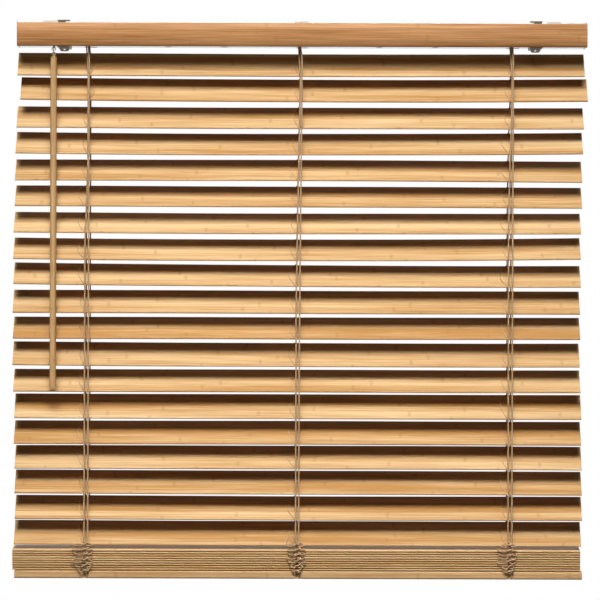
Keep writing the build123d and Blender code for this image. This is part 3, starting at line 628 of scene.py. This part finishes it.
class BLIND_OT_slack(Operator):
    """Makes the slack of the ladders: the string of the stacked slats, bunched in loops before and behind them"""
    bl_idname = "blind.slack"
    bl_label = "Ladder slack"

    def execute(self, context):
        s = context.scene.blind_sizes
        rng = random.Random(41)
        low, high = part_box("ladder_slack")
        # How far before and behind the middle plane the bunches start
        back = 0.0262
        open_runs, loops = [], []
        # How far the loops reach to the left and right of the string, as each bunch hangs in the photograph
        shapes = ((0.0185, 0.0128), (0.0145, 0.0118), (0.0165, 0.01))
        for side in (-1, 1):
            for index, station in enumerate(s.stations):
                x = station + s.ladder_offset + 0.0012
                reach_left, reach_right = shapes[index]
                top, bottom = high[2] - 0.001, low[2] + 0.004
                levels, full_levels = 7, 5
                step = (top - bottom) / levels
                for level in range(levels):
                    z = top - 0.001 - level * step
                    narrow = 1.0 if level < full_levels else 1.0 - 0.25 * (level - full_levels + 1)
                    for way, reach in ((-1, reach_left), (1, reach_right)):
                        r = reach * narrow * rng.uniform(0.8, 1.1)
                        drop = rng.uniform(0.0036, 0.0058)
                        lift = rng.uniform(0.0, 0.0012)
                        out = rng.uniform(0.0036, 0.006)
                        jig = rng.uniform(-0.0008, 0.0008)
                        loops.append([
                            (x + jig, side * (back + 0.0014), z),
                            (x + way * 0.4 * r, side * (back + 0.0012), z + lift),
                            (x + way * 0.85 * r, side * (back + 0.0016), z + lift * 0.8),
                            (x + way * 1.1 * r, side * (back + out * 0.6), z - 0.2 * drop + jig),
                            (x + way * 0.92 * r, side * (back + out), z - 0.5 * drop + jig),
                            (x + way * 0.45 * r, side * (back + out + 0.0006), z - 0.6 * drop),
                            (x + way * 0.1 * r, side * (back + 0.0026), z - 0.35 * drop),
                        ])
                if side < 0 and index == 1:
                    # The top loop of the middle bunch stands up over the last hanging slat
                    loops.append([
                        (x - 0.0008, -back - 0.0012, top - 0.002), (x - 0.0165, -back - 0.002, top - 0.001),
                        (x - 0.0172, -back - 0.002, top + 0.0052), (x - 0.0105, -back - 0.0016, top + 0.0135),
                        (x - 0.0075, -back - 0.0014, top + 0.0125), (x - 0.001, -back - 0.0012, top + 0.0045),
                    ])
                # The middle of the bunch: both strings twist round each other and hold the loops
                twist = []
                turns, turn_points = 6, 6
                for i in range(turns * turn_points):
                    angle = 2 * pi * i / turn_points + rng.uniform(-0.35, 0.35)
                    span = 0.0047 + rng.uniform(-0.0012, 0.0012)
                    z = top + 0.002 - (top - bottom + 0.002) * i / (turns * turn_points - 1)
                    twist.append((x + 0.0016 + span * cos(angle), side * (back + 0.0042 + 0.0016 * sin(angle)), z))
                open_runs.append(twist)
                ladder_y = abs(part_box("front_ladder_cords")[0][1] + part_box("front_ladder_cords")[1][1]) / 2
                start_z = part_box("front_ladder_cords" if side < 0 else "rear_ladder_cords")[0][2]
                if side < 0:
                    open_runs.append([
                        (x - 0.0012, side * ladder_y, start_z), (x - 0.0008, side * 0.0235, top + 0.006),
                        (x + 0.0006, side * 0.0268, top + 0.002), (x + 0.002, side * 0.0285, top - 0.003),
                    ])
                else:
                    open_runs.append([
                        (x - 0.0012, side * ladder_y, start_z), (x - 0.001, side * 0.0235, start_z - 0.012),
                        (x - 0.0006, side * 0.0258, start_z - 0.024), (x, side * 0.0272, top + 0.003),
                        (x + 0.002, side * 0.0285, top - 0.003),
                    ])
        runs = strings(open_runs, s.cord_radius, 1)
        rings = strings(loops, s.cord_radius * 0.85, 1, cyclic=True)
        settle(join([runs, rings]), "ladder_slack_loops", "cord", "bottom_rail", "cord", "ladder_slack")
        return {"FINISHED"}


# Rails, boards and hardware
class BLIND_OT_boards(Operator):
    """Makes the valance with its bulging front, finishes the bottom rail and its plugs, and closes its grooves"""
    bl_idname = "blind.boards"
    bl_label = "Valance and bottom rail"

    def execute(self, context):
        s = context.scene.blind_sizes
        low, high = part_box("valance")
        # The front bulges: it is most forward a little below its middle, and both long corners are rounded
        front, back, top, bottom = low[1], high[1], high[2], low[2] + 0.0006
        bulge, forward = s.valance_bulge, -0.0268
        profile = [(back, bottom), (back, top), (front + 0.0078, top), (front + 0.0064, top - 0.0004)]
        front_points = 15
        for step in range(front_points):
            z = top - 0.0013 - (top - bottom - 0.0022) * step / (front_points - 1)
            profile.append((front + (z - forward) ** 2 / (2 * bulge), z))
        profile.append((profile[-1][0] + 0.0008, bottom))
        start = (low[0] + high[0]) / 2 - s.valance_length / 2 - 0.0006
        mesh = bpy.data.meshes.new("valance")
        count = len(profile)
        mesh.from_pydata([(start, y, z) for y, z in profile], [(i, (i + 1) % count) for i in range(count)], [])
        valance = bpy.data.objects.new("valance", mesh)
        context.scene.collection.objects.link(valance)
        make_active(valance)
        bpy.ops.object.mode_set(mode="EDIT")
        bpy.ops.mesh.select_all(action="SELECT")
        bpy.ops.mesh.edge_face_add()
        bpy.ops.mesh.extrude_region_move(TRANSFORM_OT_translate={"value": (s.valance_length, 0, 0)})
        bpy.ops.mesh.select_all(action="SELECT")
        bpy.ops.mesh.normals_make_consistent(inside=False)
        bpy.ops.object.mode_set(mode="OBJECT")
        bpy.ops.object.shade_smooth_by_angle(angle=radians(30))
        settle(valance, "bamboo_valance", "board", "headrail", "bamboo", "valance")
        for node in ("bottom_rail", "rail_plugs"):
            dress(node, "rail")
        # The rail's solid has a groove at each station, open to the front. The photograph shows no opening, so
        # these blocks, which are in no solid, close it in front
        low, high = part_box("bottom_rail")
        block_size = (0.0102, 0.0024, 0.0082)
        block_y, block_z = low[1] + 0.0013, low[2] + 0.0042
        blocks = []
        for station in s.stations:
            clear_selection()
            bpy.ops.mesh.primitive_cube_add(size=1, location=(station + s.groove_offset, block_y, block_z))
            block = bpy.context.object
            block.scale = block_size
            bpy.ops.object.transform_apply(location=True, rotation=False, scale=True)
            blocks.append(block)
        settle(join(blocks), "bamboo_rail_fronts", "rail", "bottom_rail", "bamboo")
        return {"FINISHED"}


class BLIND_OT_headrail(Operator):
    """Finishes the headrail, its end caps and clips, and the brackets with their latches"""
    bl_idname = "blind.headrail"
    bl_label = "Headrail and brackets"

    def execute(self, context):
        for node in ("headrail", "valance_clips"):
            dress(node, "steel")
        for node in ("bracket_left", "bracket_right", "bracket_latches"):
            # The brackets and latches take the dark bracket steel, whose darkness is painted shade
            dress(node, "bracket")
        for node in ("end_cap_left", "end_cap_right"):
            dress(node, "plastic")
        return {"FINISHED"}


class BLIND_OT_mechanism(Operator):
    """Finishes the tilt rod, drums, cradles, tilter and spring motors"""
    bl_idname = "blind.mechanism"
    bl_label = "Mechanism"

    def execute(self, context):
        dress("tilt_rod", "plating")
        for place in ("left", "centre", "right"):
            dress(f"tilt_drum_{place}", "plastic")
            dress(f"drum_cradle_{place}", "plastic")
        for node in ("tilter_housing", "spring_motor_left", "spring_motor_right"):
            dress(node, "plastic")
        return {"FINISHED"}


class BLIND_OT_wand(Operator):
    """Finishes the tilt wand and the rings that hang it from the tilter"""
    bl_idname = "blind.wand"
    bl_label = "Wand"

    def execute(self, context):
        dress("wand", "stick")
        dress("wand_cap", "plastic")
        for node in ("tilter_shaft", "wand_link", "wand_ring"):
            dress(node, "plating")
        return {"FINISHED"}


# Stage
class BLIND_OT_stage(Operator):
    """Makes the floor, the light and the camera"""
    bl_idname = "blind.stage"
    bl_label = "Stage"

    def execute(self, context):
        colours = context.scene.blind_colours
        clear_selection()
        floor_size, floor_height = 5.6, -1.25
        bpy.ops.mesh.primitive_plane_add(size=floor_size, location=(0, 0, floor_height))
        floor = context.object
        floor.name = "floor"
        material, tree, shader = new_material("Matt white floor")
        place = add(tree, "ShaderNodeTexCoord").outputs["Object"]
        speck = add(tree, "ShaderNodeTexNoise", [("Vector", place)], Scale=60.0, Detail=2.0)
        base = linear(colours.floor)
        ramp = add(tree, "ShaderNodeValToRGB", [("Fac", speck.outputs["Fac"])],
                   stops=[(0.3, tuple(c * 0.985 for c in base[:3]) + (1,)), (0.7, base)])
        # The floor is pale to the eye and to metal, and throws less light back up
        rays = add(tree, "ShaderNodeLightPath")
        shown = add(tree, "ShaderNodeMath", [(0, rays.outputs["Is Camera Ray"]), (1, rays.outputs["Is Glossy Ray"])],
                    operation="MAXIMUM")
        tinted = add(tree, "ShaderNodeMix", [("Factor", shown.outputs[0])], data_type="RGBA")
        thrown_back = 0.08
        tinted.inputs[6].default_value = (*[c * thrown_back for c in base[:3]], 1)
        tree.links.new(ramp.outputs["Color"], tinted.inputs[7])
        tree.links.new(tinted.outputs[2], shader.inputs["Base Color"])
        shader.inputs["Roughness"].default_value = 0.9
        floor.data.materials.append(material)

        world = bpy.data.worlds.new("Studio")
        context.scene.world = world
        world.use_nodes = True
        tree = world.node_tree
        background = tree.nodes["Background"]
        rays = add(tree, "ShaderNodeLightPath")
        seen = add(tree, "ShaderNodeMath", [(0, rays.outputs["Is Camera Ray"]), (1, rays.outputs["Is Glossy Ray"])],
                   operation="MAXIMUM")
        clear = add(tree, "ShaderNodeMath",
                    [(0, seen.outputs[0]), (1, rays.outputs["Is Transmission Ray"])], operation="MAXIMUM")
        strength = add(tree, "ShaderNodeMapRange", [("Value", clear.outputs[0])], To_Min=0.01, To_Max=1.0)
        background.inputs["Color"].default_value = (1, 1, 1, 1)
        tree.links.new(strength.outputs["Result"], background.inputs["Strength"])

        # A large soft light above the front, a narrower one on the lower slats and a weak one behind: name, place,
        # width, height, watts, spread in degrees and the height that it points at
        lights = (
            ("key", (-0.2, -3.9, 3.95), 3.4, 3.0, 290, 180, -0.44),
            ("lower", (-0.2, -3.0, 2.6), 1.6, 1.4, 6, 36, -1.1),
            ("rear", (0.3, 3.6, 2.6), 2.5, 2.5, 20, 180, -0.44),
        )
        for name, place, width, height, power, spread, aim in lights:
            lamp = bpy.data.lights.new(name, "AREA")
            lamp.shape = "RECTANGLE"
            lamp.size, lamp.size_y, lamp.energy, lamp.spread = width, height, power, radians(spread)
            light = bpy.data.objects.new(name, lamp)
            light.location = place
            towards = Vector((0, 0, aim)) - Vector(place)
            light.rotation_euler = towards.to_track_quat("-Z", "Y").to_euler()
            context.scene.collection.objects.link(light)

        lens = bpy.data.cameras.new("camera")
        lens.sensor_width = 36
        lens.lens = 225.96
        lens.clip_start, lens.clip_end = 0.1, 60
        camera = bpy.data.objects.new("camera", lens)
        camera.location = (0.0014, -6.0, -0.4432)
        camera.rotation_euler = (radians(90), radians(-0.18), 0)
        context.scene.collection.objects.link(camera)
        context.scene.camera = camera
        context.scene.view_settings.view_transform = "Standard"
        return {"FINISHED"}


class BLIND_PT_panel(Panel):
    """Lists the blind's pieces, sizes and colours"""
    bl_idname = "BLIND_PT_panel"
    bl_label = "Bamboo blind"
    bl_space_type = "VIEW_3D"
    bl_region_type = "UI"
    bl_category = "Blind"

    def draw(self, context):
        for group in (context.scene.blind_sizes, context.scene.blind_colours):
            box = self.layout.box()
            for key in group.__annotations__:
                box.prop(group, key)
        for operator in operators:
            self.layout.operator(operator.bl_idname)


operators = (BLIND_OT_stage, BLIND_OT_slats, BLIND_OT_rungs, BLIND_OT_ladders, BLIND_OT_lift_cords, BLIND_OT_slack,
             BLIND_OT_boards, BLIND_OT_headrail, BLIND_OT_mechanism, BLIND_OT_wand)
classes = (BlindSizes, BlindColours, *operators, BLIND_PT_panel)


def register():
    for cls in classes:
        bpy.utils.register_class(cls)
    bpy.types.Scene.blind_sizes = PointerProperty(type=BlindSizes)
    bpy.types.Scene.blind_colours = PointerProperty(type=BlindColours)


def unregister():
    del bpy.types.Scene.blind_colours
    del bpy.types.Scene.blind_sizes
    for cls in reversed(classes):
        bpy.utils.unregister_class(cls)


def main():
    register()
    bpy.ops.blind.stage()
    bpy.ops.blind.slats()
    bpy.ops.blind.rungs()
    bpy.ops.blind.ladders()
    bpy.ops.blind.lift_cords()
    bpy.ops.blind.slack()
    bpy.ops.blind.boards()
    bpy.ops.blind.headrail()
    bpy.ops.blind.mechanism()
    bpy.ops.blind.wand()
    clear_selection()


if __name__ == "__main__":
    main()
